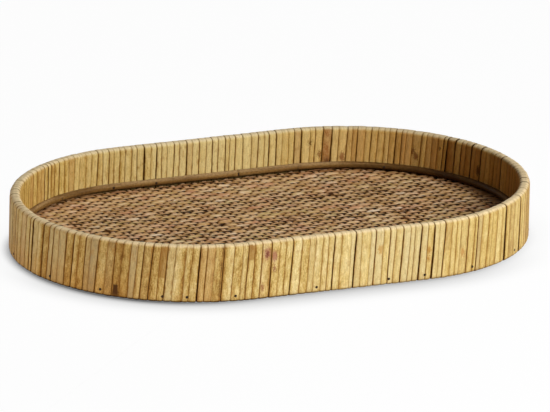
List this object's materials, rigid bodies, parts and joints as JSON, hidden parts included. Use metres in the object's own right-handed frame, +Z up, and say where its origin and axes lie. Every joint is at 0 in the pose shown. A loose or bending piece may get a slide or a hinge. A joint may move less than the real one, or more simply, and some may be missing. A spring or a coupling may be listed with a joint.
{
  "type": "serving tray",
  "caption": "Oblong round-ended serving tray: bent hoop rim wrapped in flat rattan peel round a base panel with a woven reed mat and a half-round cane trim.",
  "frame": {"origin": "middle of the underside, on the surface that the tray stands on", "axes": "+X along the tray, +Y across it towards the back, +Z up out of the tray"},
  "size_m": [0.5603, 0.3664, 0.062],
  "materials": {
    "hoop_wood": "raw bent ply, hidden under the wrap",
    "rattan_peel": "flat rattan peel, golden straw colour with brown edges, satin",
    "panel_wood": "plywood, thin clear coat",
    "mat_stake_reed": "flat straw-brown reed, satin",
    "mat_weaver_reed": "flat olive-brown reed, satin",
    "trim_cane": "half-round cane, olive brown, satin",
    "brad_steel": "dark wire brads"
  },
  "bodies": {
    "root": {"hoop_outer_ply": "hoop_wood", "hoop_inner_ply": "hoop_wood", "wrap_front": "rattan_peel", "wrap_right_end": "rattan_peel", "wrap_back": "rattan_peel", "wrap_left_end": "rattan_peel", "base_panel": "panel_wood", "mat_stakes": "mat_stake_reed", "mat_weavers_odd": "mat_weaver_reed", "mat_weavers_even": "mat_weaver_reed", "trim_cane": "trim_cane", "rim_brads": "brad_steel", "trim_brads": "brad_steel"}
  },
  "joints": []
}
